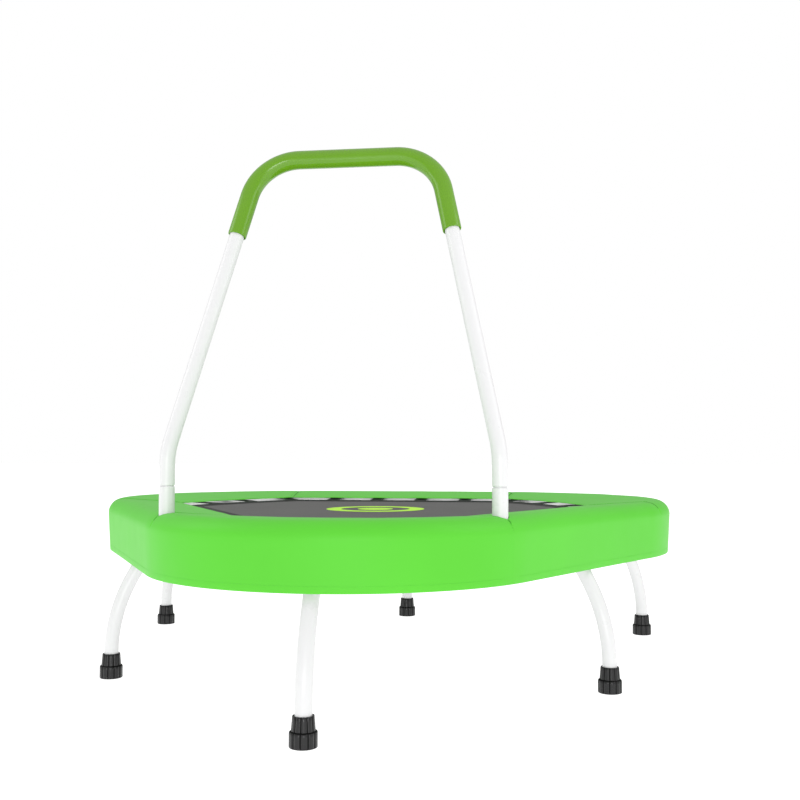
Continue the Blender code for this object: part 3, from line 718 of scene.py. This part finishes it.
def make_bracket(side, name):
    """Sleeve on a spacer block, welded to the front rail."""
    radial = post_radial(side)
    across = radial.cross(UP)
    line = straight(post_place(side, SLEEVE_BOTTOM_Z), post_place(side, SLEEVE_TOP_Z), radial)
    bore_r = TUBE_R + GAP
    rim = [(SLEEVE_R - TUBE_EDGE, 0), (SLEEVE_R, TUBE_EDGE)]
    add_piece(f"bracket_sleeve_{name}", tube(line, rim, [(bore_r, 0)]))
    inner = plan((0, -RAIL_LOBE_CENTRE), RAIL_Z) + radial * (RAIL_LOBE_R + TUBE_R * 0.6)
    outer = post_place(side, RAIL_Z) - radial * (SLEEVE_R + bore_r) / 2
    turned = Matrix((radial, across, UP)).transposed().to_4x4()
    bm = block((inner + outer) / 2, turned, ((outer - inner).length, SPACER_WIDTH, SPACER_HEIGHT))
    bmesh.ops.bevel(bm, geom=bm.edges, offset=0.0012, segments=3, affect="EDGES", profile=0.5)
    add_piece(f"bracket_spacer_{name}", bm)
    for end, place in (("rail", inner + radial * TUBE_R * 0.35), ("sleeve", outer - radial * 0.0005)):
        loop = []
        for u, v in ((-1, -1), (1, -1), (1, 1), (-1, 1)):
            corner = place + across * u * SPACER_WIDTH / 2 + UP * v * SPACER_HEIGHT / 2
            ahead = place + across * -v * SPACER_WIDTH / 2 + UP * u * SPACER_HEIGHT / 2
            loop += [corner.lerp(ahead, k / 8) for k in range(8)]
        weld_bead(f"bracket_weld_{end}_{name}", loop, WELD_R * 0.8)


def make_post(side, name):
    line = straight(post_place(side, POST_BOTTOM_Z), post_place(side, JOINT_Z - GAP), post_radial(side))
    add_tube(f"post_tube_{name}", line, replaces=[f"post_{name}"])


def hexagon_head(bm, here, across, start, depth):
    """Hexagon with a chamfered face, along a frame's tangent."""
    stations = [(here, across / 2, start), (here, across / 2, start + depth * 0.8),
                (here, across / 2 * 0.9, start + depth)]
    swept(bm, stations, sides=6)


def make_post_bolt(side, name):
    """Hexagon bolt through sleeve and post, with washers and a nut."""
    axis = post_radial(side).cross(UP)
    here = (post_place(side, BOLT_Z), axis, UP, axis.cross(UP))
    back = (post_place(side, BOLT_Z), -axis, UP, -axis.cross(UP))
    seat = SLEEVE_R + GAP
    bm = bmesh.new()
    swept(bm, [(here, BOLT_R, -seat - 0.0045), (here, BOLT_R, seat + 0.0045)], sides=20)
    for end in (here, back):
        swept(bm, [(end, 0.0058, seat), (end, 0.0058, seat + 0.0008)], sides=28)
        hexagon_head(bm, end, 0.0102, seat + 0.0008, 0.0032)
    add_piece(f"bracket_bolt_{name}", bm, "fastener", replaces=[f"post_bolt_{name}"])


def make_lock_screw(side, name):
    """Pan-head screw with a cross recess, on the post's mat side."""
    axis = Vector((0, 1, 0))
    here = (post_place(side, SCREW_Z), axis, UP, axis.cross(UP))
    seat = TUBE_R + GAP
    bm = bmesh.new()
    head = [(0.0028, seat - 0.0012), (0.0050, seat), (0.0050, seat + 0.0014), (0.0045, seat + 0.0028),
            (0.0032, seat + 0.0038), (0.0016, seat + 0.0042)]
    swept(bm, [(here, SCREW_R, SPIGOT_R + 2 * GAP)] + [(here, r, s) for r, s in head], sides=24)
    screw = add_piece(f"locking_screw_{name}", bm, "fastener", replaces=[f"lock_screw_{name}"])
    place = post_place(side, SCREW_Z) + axis * (seat + RECESS_FROM_SEAT)
    for angle in (0, math.pi / 2):
        cut_away(screw, block(place, Matrix.Rotation(angle, 4, "Y"), RECESS_SIZE))


def cut_away(obj, cutter_bm):
    """Cut a closed shape out of a piece and keep only the result."""
    bmesh.ops.recalc_face_normals(cutter_bm, faces=cutter_bm.faces)
    cutter = add_object("cutter", mesh_from(cutter_bm, "cutter"))
    modifier = obj.modifiers.new("cut", "BOOLEAN")
    modifier.operation = "DIFFERENCE"
    modifier.solver = "EXACT"
    modifier.object = cutter
    bake_modifiers(obj)
    bpy.data.objects.remove(cutter)


def bake_modifiers(obj):
    """Replace a piece's mesh by its evaluated one."""
    bpy.context.view_layer.update()
    graph = bpy.context.evaluated_depsgraph_get()
    mesh = bpy.data.meshes.new_from_object(obj.evaluated_get(graph))
    obj.modifiers.clear()
    obj.data = mesh


# ---- padded cover

def droop(along):
    """How far the cover's free edge hangs down at a distance from the lip."""
    return LIP_DROOP * max(0.0, 1 - along / LIP_DROOP_WIDTH) ** 2


def pad_profile(lip, hem):
    """Loop of (distance, z, softness, lined) round a panel's section, from lip over the top to underside.

    softness is how far the seams can draw the cloth down, from 0 to 1; lined is 1 on the lining.
    """
    edge = hem + PAD_BULGE
    crown = lip + (edge - lip) * PAD_CROWN_AT
    loop = []
    for k in range(7):
        angle = math.radians(-90 - 30 * k)
        loop.append((lip + LIP_ROLL_R * (1 + math.cos(angle)),
                     PAD_LIP_Z - LIP_ROLL_R * (1 - math.sin(angle)) - LIP_DROOP, 0, 0))
    binding = [BINDING_AT + BINDING_WIDTH * k for k in (-6, -4, -2, -1, 0, 1, 2, 4)]
    rest = crown - lip - binding[-1]
    for along in [0.002] + binding + [binding[-1] + rest * k / 18 for k in range(1, 19)]:
        part = along / (crown - lip)
        groove = BINDING_DEPTH * math.exp(-((along - BINDING_AT) / BINDING_WIDTH) ** 2)
        soft = max(0, min(1, (along - BINDING_AT) / 0.03))
        rise = (PAD_CROWN_Z - PAD_LIP_Z) * part * (1.12 - 0.12 * part)
        loop.append((lip + along, PAD_LIP_Z + rise - groove - droop(along), soft, 0))
    for k in range(13):
        angle = math.pi / 2 * k / 12
        loop.append((edge - PAD_EDGE_R * (1 - math.sin(angle)),
                     PAD_CROWN_Z - PAD_EDGE_DROP - PAD_EDGE_R * (1 - math.cos(angle)), 1 - k / 12, 0))
    shoulder = PAD_CROWN_Z - PAD_EDGE_DROP - PAD_EDGE_R
    for k in range(1, 13):
        part = k / 12
        loop.append((edge - (edge - hem) * part, shoulder + (HEM_Z + 0.001 - shoulder) * part, 0, 0))
    inside = hem - SKIRT_THICKNESS
    loop += [(hem - 0.0004, HEM_Z + 0.0002, 0, 0), ((hem + inside) / 2, HEM_Z, 0, 0),
             (inside + 0.0004, HEM_Z + 0.0002, 0, 0), (inside, HEM_Z + 0.001, 0, 0)]
    inner = edge - SKIRT_THICKNESS - 0.001
    low = PAD_UNDER_Z - PAD_EDGE_INNER_R
    loop += [(inside + (inner - inside) * k / 8, HEM_Z + (low - HEM_Z) * k / 8, 0, 1) for k in range(1, 8)]
    for k in range(7):
        angle = math.pi / 2 * k / 6
        loop.append((inner - PAD_EDGE_INNER_R * (1 - math.cos(angle)),
                     low + PAD_EDGE_INNER_R * math.sin(angle), 0, 1))
    flat_end = inner - PAD_EDGE_INNER_R
    flat_start = lip + 4 * LIP_ROLL_R
    for k in range(1, 17):
        distance = flat_end + (flat_start - flat_end) * math.sin(math.pi / 2 * k / 16)
        loop.append((distance, PAD_UNDER_Z - droop(distance - lip), 0, 1))
    return loop


def spaced(length, step):
    """Shares of a length from 0 to 1, closer together at both ends, where the seams are."""
    ends = [0.0, 0.0012, 0.0026, 0.0044, 0.0070, 0.0105, 0.0150]
    inner = max(2, round((length - 2 * ends[-1]) / step))
    middle = [ends[-1] + (length - 2 * ends[-1]) * i / inner for i in range(1, inner)]
    return [d / length for d in ends + middle + [length - e for e in reversed(ends)]]


def lobe_rays():
    """Origin, angle and lip distance of each section of a rounded panel, with its lobe's axis along +X."""
    centre = Vector((SKIRT_LOBE_CENTRE, 0, 0))
    offset = centre - Vector((bow_centre(), 0, 0))
    rays = []
    for share in spaced(2 * seam_angle() * SKIRT_R, PANEL_STEP):
        angle = seam_angle() * (2 * share - 1)
        along = offset.dot(direction(angle))
        lip = math.sqrt(along ** 2 - offset.length_squared + OPENING_BOW_R ** 2) - along
        rays.append((centre, angle, lip))
    return rays


def side_rays():
    """The same for a straight panel, whose ends follow the neighbouring lobes' curves."""
    lip = OPENING_SIDE - SKIRT_LOBE_CENTRE / 2
    half = SKIRT_LOBE_CENTRE * math.sin(SIXTH)
    fan = SIXTH - seam_angle()
    arc = fan * SKIRT_R
    rays = []
    for share in spaced(2 * (half + arc), PANEL_STEP):
        along = (2 * share - 1) * (half + arc)
        angle = math.copysign(max(abs(along) - half, 0) / SKIRT_R, along)
        origin = Vector((SKIRT_LOBE_CENTRE / 2, max(-half, min(half, along)), 0))
        rays.append((origin, angle, lip / math.cos(angle)))
    return rays


def panel_mesh(rays):
    """Closed padded panel in its own station's frame, drawn down at both end seams."""
    bm = bmesh.new()
    lining = bm.verts.layers.float.new("lining")
    hems = [origin + direction(angle) * SKIRT_R for origin, angle, _ in rays]
    rings = []
    for i, (origin, angle, lip) in enumerate(rays):
        from_seam = min((hems[i] - hems[0]).length, (hems[i] - hems[-1]).length)
        origin = origin + turn(angle) * {0: PANEL_GAP, len(rays) - 1: -PANEL_GAP}.get(i, 0)
        draw = SEAM_DEPTH * math.exp(-(from_seam / SEAM_WIDTH) ** 2)
        draw += SEAM_PUFF * math.exp(-from_seam / SEAM_PUFF_WIDTH)
        ring = []
        for distance, z, soft, lined in pad_profile(lip, SKIRT_R):
            vert = bm.verts.new(origin + direction(angle) * distance + UP * (z - draw * min(1, soft * 4)))
            vert[lining] = lined
            ring.append(vert)
        rings.append(ring)
    skin(bm, rings, caps=True)
    for face in bm.faces:
        face.material_index = int(all(vert[lining] > 0 for vert in face.verts))
    bmesh.ops.recalc_face_normals(bm, faces=bm.faces)
    return mesh_from(bm, "panel")


def add_folds(mesh):
    """Shallow waves in the hanging skirt and slight unevenness of the top, running on over every panel.

    The skirt's right and left corners are also moved out or in by their spread.
    """
    shoulder = PAD_CROWN_Z - PAD_EDGE_R
    for vert in mesh.vertices:
        out = Vector((vert.co.x - AXIS.x, vert.co.y - AXIS.y, 0)).normalized()
        hang = max(0.0, min(1.0, (shoulder - vert.co.z) / (shoulder - SKIRT_Z)))
        x, y, z = vert.co
        lump = noise.noise(Vector((x * 14, y * 14, 3.1)))
        vert.co += out * noise.noise(Vector((x * 7, y * 7, z * 4))) * FOLD_DEPTH * hang
        if z > PAD_UNDER_Z + 0.001:
            vert.co.z += lump * LUMP_DEPTH
        spread = SPREAD_RIGHT if vert.co.x > 0 else SPREAD_LEFT
        vert.co.x += spread * max(0.0, (abs(vert.co.x) - SPREAD_FROM) / (CORNER_X - SPREAD_FROM)) ** 2


def make_panel(station):
    mesh = panel_mesh(lobe_rays() if station in LOBES else side_rays())
    mesh.transform(Matrix.Translation(AXIS) @ Matrix.Rotation(ANGLES[station], 4, "Z"))
    add_folds(mesh)
    bm = bmesh.new()
    bm.from_mesh(mesh)
    panel = add_piece(f"cover_{station}", bm, "pad_cover", replaces=[f"pad_{station}"], sharp=75)
    panel.data.materials.append(materials["lining"])
    for side in (-1, 1):
        neighbour = "left_front" if side < 0 else "right_front"
        if station in ("front", neighbour):
            start = post_place(side, PAD_UNDER_Z - 0.01)
            line = straight(start, post_place(side, PAD_CROWN_Z + 0.01), post_radial(side))
            cut_away(panel, swept(bmesh.new(), [(here, POST_HOLE_R, 0) for here in line]))
    return panel


def add_stitches(bm, tree, start, end, out, radius):
    """Row of thread stitches from start to end, each lying on the surface found by looking back along out."""
    run = end - start
    count = int(run.length / STITCH_PITCH)
    half = STITCH_LENGTH / 2 / run.length
    for i in range(count):
        spots = []
        for share in ((i + 0.5) / count - half, (i + 0.5) / count + half):
            spot = start.lerp(end, share)
            hit, normal, _, _ = tree.ray_cast(spot + out * 0.03, -out)
            if hit is not None and (hit - spot).length < 0.02:
                spots.append(hit + normal * radius * 0.35)
        if len(spots) == 2 and (spots[0] - spots[1]).length < STITCH_LENGTH * 2:
            first, last = straight(*spots, out)
            swept(bm, [(first, radius * 0.4, -radius), (first, radius, 0), (last, radius, 0),
                       (last, radius * 0.4, radius)], sides=6)


def make_seam_thread(station, panel):
    """Stitch rows on top along both end seams, and one along the hem of the skirt."""
    tree = BVHTree.FromObject(panel, bpy.context.evaluated_depsgraph_get())
    rays = lobe_rays() if station in LOBES else side_rays()
    turned = Matrix.Translation(AXIS) @ Matrix.Rotation(ANGLES[station], 4, "Z")
    bm = bmesh.new()
    for end, inwards in ((0, 1), (-1, -1)):
        origin, angle, lip = rays[end]
        origin = origin + turn(angle) * inwards * STITCH_FROM_SEAM + UP * PAD_CROWN_Z
        row = [turned @ (origin + direction(angle) * distance) for distance in (lip + 0.006, SKIRT_R - 0.020)]
        add_stitches(bm, tree, *row, UP, STITCH_R)
    hem = [turned @ (origin + direction(angle) * (SKIRT_R + 0.002) + UP * (HEM_Z + HEM_STITCH_RISE))
           for origin, angle, _ in rays]
    for start, end, (_, angle, _), (_, next_angle, _) in zip(hem, hem[1:], rays, rays[1:]):
        if (end - start).length > 0.004:
            out = (turned.to_3x3() @ direction((angle + next_angle) / 2)).normalized()
            add_stitches(bm, tree, start, end, out, HEM_STITCH_R)
    add_piece(f"cover_thread_{station}", bm, "thread", "pad_cover")


def make_seam_shade_cord(lobe):
    """Dark cord in the groove of both of a rounded panel's seams, painted shade of the seam line, open where
    a post passes through.
    """
    turned = Matrix.Translation(AXIS) @ Matrix.Rotation(ANGLES[lobe], 4, "Z")
    shoulder = PAD_CROWN_Z - PAD_EDGE_DROP - PAD_EDGE_R
    rays = lobe_rays()
    bm = bmesh.new()
    for origin, angle, lip in (rays[0], rays[-1]):
        runs = [[]]
        for distance, z, soft, lined in pad_profile(lip, SKIRT_R):
            if lined or distance < lip + 0.002 or z < shoulder + SEAM_CORD_END:
                continue
            point = turned @ (origin + direction(angle) * distance)
            point.z = z - SEAM_PUFF * min(1, soft * 4)
            from_posts = [(point.xy - post_place(side, 0).xy).length for side in (-1, 1)]
            if min(from_posts) < POST_HOLE_R + SEAM_CORD_R:
                runs.append([])
            else:
                runs[-1].append(point)
        for run in runs:
            if len(run) > 2:
                swept(bm, [(here, SEAM_CORD_R, 0) for here in frames(run, UP)], sides=8)
    mesh = mesh_from(bm, "cord")
    add_folds(mesh)
    bm = bmesh.new()
    bm.from_mesh(mesh)
    # the cord's dark green is painted shade of the seam line
    add_piece(f"cover_seam_shade_{lobe}", bm, "seam_shade", "pad_cover")


# ---- mat and straps

def fill_outline(inset, z, rings=14):
    """Flat net of faces inside the outline, from its middle outwards."""
    bm = bmesh.new()
    rim = outline(inset)
    middle = bm.verts.new(plan((0, 0), z))
    loops = [[bm.verts.new(plan(p * (k / rings), z)) for p in rim] for k in range(1, rings + 1)]
    for i in range(len(rim)):
        bm.faces.new((middle, loops[0][i], loops[0][(i + 1) % len(rim)]))
    skin(bm, loops)
    return bm


def thicken(obj, thickness):
    shell = obj.modifiers.new("thickness", "SOLIDIFY")
    shell.thickness = thickness
    shell.offset = -1
    bake_modifiers(obj)


def make_mat():
    inset = MAT_INSET + MAT_BORDER * 0.5
    bm = fill_outline(inset, MAT_TOP_Z)
    for vert in bm.verts:
        vert.co.z += 0.0003 * noise.noise(vert.co * 9)
    area = sum(face.calc_area() for face in bm.faces)
    xs = [v.co.x for v in bm.verts]
    ys = [v.co.y for v in bm.verts]
    sheet = add_piece("mat_sheet", bm, "mat_fabric", body="mat", replaces=["mat"])
    thicken(sheet, MAT_THICKNESS * 0.6)
    return sheet, (max(xs) - min(xs), max(ys) - min(ys)), area


def loop_round(bm, section, steps=16):
    """Skin a closed section of (inset, z) points right round the mat's outline."""
    skin(bm, [[bm.verts.new(plan(p, z)) for p in outline(inset, steps, steps)] for inset, z in section],
         closed=True)
    return bm


def make_border():
    """Woven border with a dark bound edge, and two rows of thread."""
    middle = MAT_TOP_Z - MAT_THICKNESS / 2
    half = MAT_BORDER_THICKNESS / 2
    outer, inner = MAT_INSET + EDGE_CORD_R, MAT_INSET + MAT_BORDER
    section = [(inner, middle - half), (inner, middle + half), (outer, middle + half), (outer, middle - half)]
    border = add_piece("mat_border_band", loop_round(bmesh.new(), section), "border", "webbing", body="mat",
                       replaces=["mat_border"])
    cord = []
    for k in range(12):
        angle = 2 * math.pi * k / 12
        cord.append((outer - EDGE_CORD_R * math.cos(angle),
                     middle + half + EDGE_CORD_R * (0.4 + math.sin(angle))))
    binding = add_piece("mat_edge_binding", loop_round(bmesh.new(), cord), "webbing", body="mat")
    thread = bmesh.new()
    for inset in (outer + 0.004, inner - 0.003):
        points = [plan(p, middle + half + 0.0002) for p in outline(inset, 8, 8)]
        for start, end in zip(points, points[1:] + points[:1]):
            count = max(1, round((end - start).length / 0.0065))
            for i in range(count):
                here = straight(start.lerp(end, (i + 0.2) / count), start.lerp(end, (i + 0.8) / count), UP)
                swept(thread, [(here[0], 0.0002, -0.0004), (here[0], 0.0004, 0), (here[1], 0.0004, 0),
                               (here[1], 0.0002, 0.0004)], sides=5)
    stitches = add_piece("mat_thread", thread, "mat_thread", "webbing", body="mat")
    return border, binding, stitches


def make_mark():
    """Printed target on the mat: a ring round a dot."""
    bm = bmesh.new()
    low, high = MAT_TOP_Z + 0.0002, MAT_TOP_Z + 0.0005
    for inner, outer in (MARK_RING, (None, MARK_DOT_R)):
        def circle(radius, z):
            return [bm.verts.new(plan(direction(2 * math.pi * i / 96) * radius, z)) for i in range(96)]
        if inner:
            skin(bm, [circle(inner, low), circle(inner, high), circle(outer, high), circle(outer, low)],
                 closed=True)
        else:
            skin(bm, [circle(outer, low), circle(outer, high)], caps=True)
    return add_piece("mat_mark", bm, "print", "mat_fabric", body="mat")


def strap_ends():
    """Rail point and direction, and mat point and direction, of every strap, in the CAD's order."""
    end_inset = MAT_INSET - 2 * GAP
    for station, axis in ANGLES.items():
        if station in SIDES:
            for along in SIDE_STRAPS:
                across = turn(axis)
                yield (direction(axis) * RAIL_SIDE + across * along, across,
                       direction(axis) * (OPENING_SIDE - end_inset) + across * along, across)
            continue
        centre = direction(axis) * RAIL_LOBE_CENTRE
        half_edge = OPENING_BOW_R * math.sin(corner_bow_angle(0))
        for side in (-1, 1):
            rail_angle = axis + side * LOBE_STRAP_RAIL_ANGLE
            mat_point = bow_point(station, side * LOBE_STRAP_OFFSET / half_edge, end_inset)
            yield centre + direction(rail_angle) * RAIL_LOBE_R, turn(rail_angle), mat_point, turn(axis)
            rail_angle = axis + side * CORNER_STRAP_RAIL_ANGLE
            corner_axis = axis + side * math.radians(30)
            mat_point = bow_point(station, side, end_inset) + direction(corner_axis) * CORNER_STRAP_CLEAR
            yield centre + direction(rail_angle) * RAIL_LOBE_R, turn(rail_angle), mat_point, turn(corner_axis)


def tangent_angle(reach, rise, side):
    """Where a straight run to a point that far away and up leaves the strap's circle round the rail."""
    away = math.hypot(reach, rise)
    return math.atan2(rise, reach) + side * math.acos(STRAP_WRAP_R / away)


def make_strap(number, rail_xy, rail_along, mat_xy, mat_along):
    """Elastic band round the rail, with two straight runs to the mat, drawn narrower between its ends."""
    rail, mat = plan(rail_xy, RAIL_Z), plan(mat_xy, STRAP_END_Z)
    rail_in, mat_in = UP.cross(rail_along), UP.cross(mat_along)
    over_end = mat - mat_in * STRAP_THICKNESS + UP * STRAP_END_R
    under_end = mat - mat_in * STRAP_THICKNESS - UP * STRAP_END_R
    leave = tangent_angle((over_end - rail).dot(rail_in), over_end.z - rail.z, 1)
    arrive = tangent_angle((under_end - rail).dot(rail_in), under_end.z - rail.z, -1) + 2 * math.pi
    line = []
    for i in range(STRAP_ARC_STEPS + 1):
        angle = leave + (arrive - leave) * i / STRAP_ARC_STEPS
        out = rail_in * math.cos(angle) + UP * math.sin(angle)
        line.append((0.0, rail + out * STRAP_WRAP_R, out))
    over_start, under_start = line[0], line[-1]
    shares = [k / STRAP_RUN_STEPS for k in range(1, STRAP_RUN_STEPS + 1)]
    line += [(share, under_start[1].lerp(under_end, share), under_start[2].lerp(-UP, share))
             for share in shares]
    line += [(share, over_start[1].lerp(over_end, share), over_start[2].lerp(UP, share))
             for share in reversed(shares)]
    bm = bmesh.new()
    rings = []
    for share, centre, out in line:
        along = rail_along.lerp(mat_along, share).normalized()
        half = STRAP_WIDTH / 2 * (1 - STRAP_NARROWING * math.sin(math.pi * share))
        ring = []
        for side, rise in ((-1, 0), (-1, 1), (-0.5, 1.12), (0, 1.0), (0.5, 1.12), (1, 1), (1, 0), (0, 0)):
            spot = centre + along * side * half + out.normalized() * STRAP_THICKNESS * rise
            ring.append(bm.verts.new(spot))
        rings.append(ring)
    skin(bm, rings, closed=True)
    strap = add_piece(f"elastic_{number:02d}", bm, "elastic", body=None, replaces=[f"strap_{number:02d}"],
                      sharp=50)
    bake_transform(strap)


# ---- handlebar

def handlebar_line():
    top_y = -POST_FORWARD + BAR_LEAN * (BAR_TOP_Z - BEND_Z)
    left = [plan((-POST_X, -POST_FORWARD), JOINT_Z + JOINT_GAP), plan((-POST_X, -POST_FORWARD), BEND_Z),
            plan((-BAR_TOP_X, top_y), BAR_TOP_Z)]
    corners = left + [Vector((-p.x, p.y, p.z)) for p in reversed(left)]
    path = fillet(corners, [BAR_BEND_R, BAR_TOP_BEND_R, BAR_TOP_BEND_R, BAR_BEND_R])
    return frames(path, post_radial(-1))


def make_handlebar():
    bore_r = SPIGOT_R - 2 * PLUG_LEAD
    rim = [(SPIGOT_R - PLUG_LEAD, -SPIGOT_LENGTH), (SPIGOT_R, PLUG_LEAD * 1.5 - SPIGOT_LENGTH),
           (SPIGOT_R, -TUBE_EDGE), (TUBE_R - TUBE_EDGE, 0), (TUBE_R, TUBE_EDGE)]
    add_piece("handlebar_tube", tube(handlebar_line(), rim, [(bore_r, -SPIGOT_LENGTH), (bore_r, 0)]),
              body="handlebar", replaces=["handlebar"])


def make_grip():
    """Foam sleeve over the top bar and its bends, with soft rolled ends."""
    line = handlebar_line()
    above = [here for here in line if here[0].z > GRIP_END_Z + 0.001]
    below = line[line.index(above[0]) - 1]
    slope = (above[0][0] - below[0]).normalized()
    drop = (above[0][0].z - GRIP_END_Z) / slope.z
    start = (above[0][0], slope) + above[0][2:]
    end = (above[-1][0], Vector((slope.x, -slope.y, -slope.z))) + above[-1][2:]
    rim = [(GRIP_BORE_R + GRIP_ROLL, -drop), (GRIP_R - GRIP_ROLL, -drop),
           (GRIP_R - GRIP_ROLL * 0.2, GRIP_ROLL * 0.6 - drop), (GRIP_R, GRIP_ROLL * 2 - drop)]
    grip = add_piece("handlebar_sleeve", tube([start, *above, end], rim, [(GRIP_BORE_R, 0.004 - drop)]),
                     "grip_sleeve", body="handlebar", replaces=["handlebar_grip"])


# ---- everything

make_camera()
materials = make_materials()
make_lights()
make_floor()
for lobe in LOBES:
    make_lobe_rail(lobe)
for side in SIDES:
    make_side_rail(side)
for station in ANGLES:
    make_socket(station)
    make_leg(station)
    make_boot(station)
for side, name in ((-1, "left"), (1, "right")):
    make_bracket(side, name)
    make_post(side, name)
    make_post_bolt(side, name)
    make_lock_screw(side, name)
for station in ANGLES:
    make_seam_thread(station, make_panel(station))
    if station in LOBES:
        # dark cords in the rounded panels' seams, painted shade of the seam lines
        make_seam_shade_cord(station)
mat_sheet, mat_size, mat_area = make_mat()
mat_trim = make_border()
mat_mark = make_mark()
for number, ends in enumerate(strap_ends(), 1):
    make_strap(number, *ends)
make_handlebar()
make_grip()

bpy.context.scene.view_settings.view_transform = "Standard"
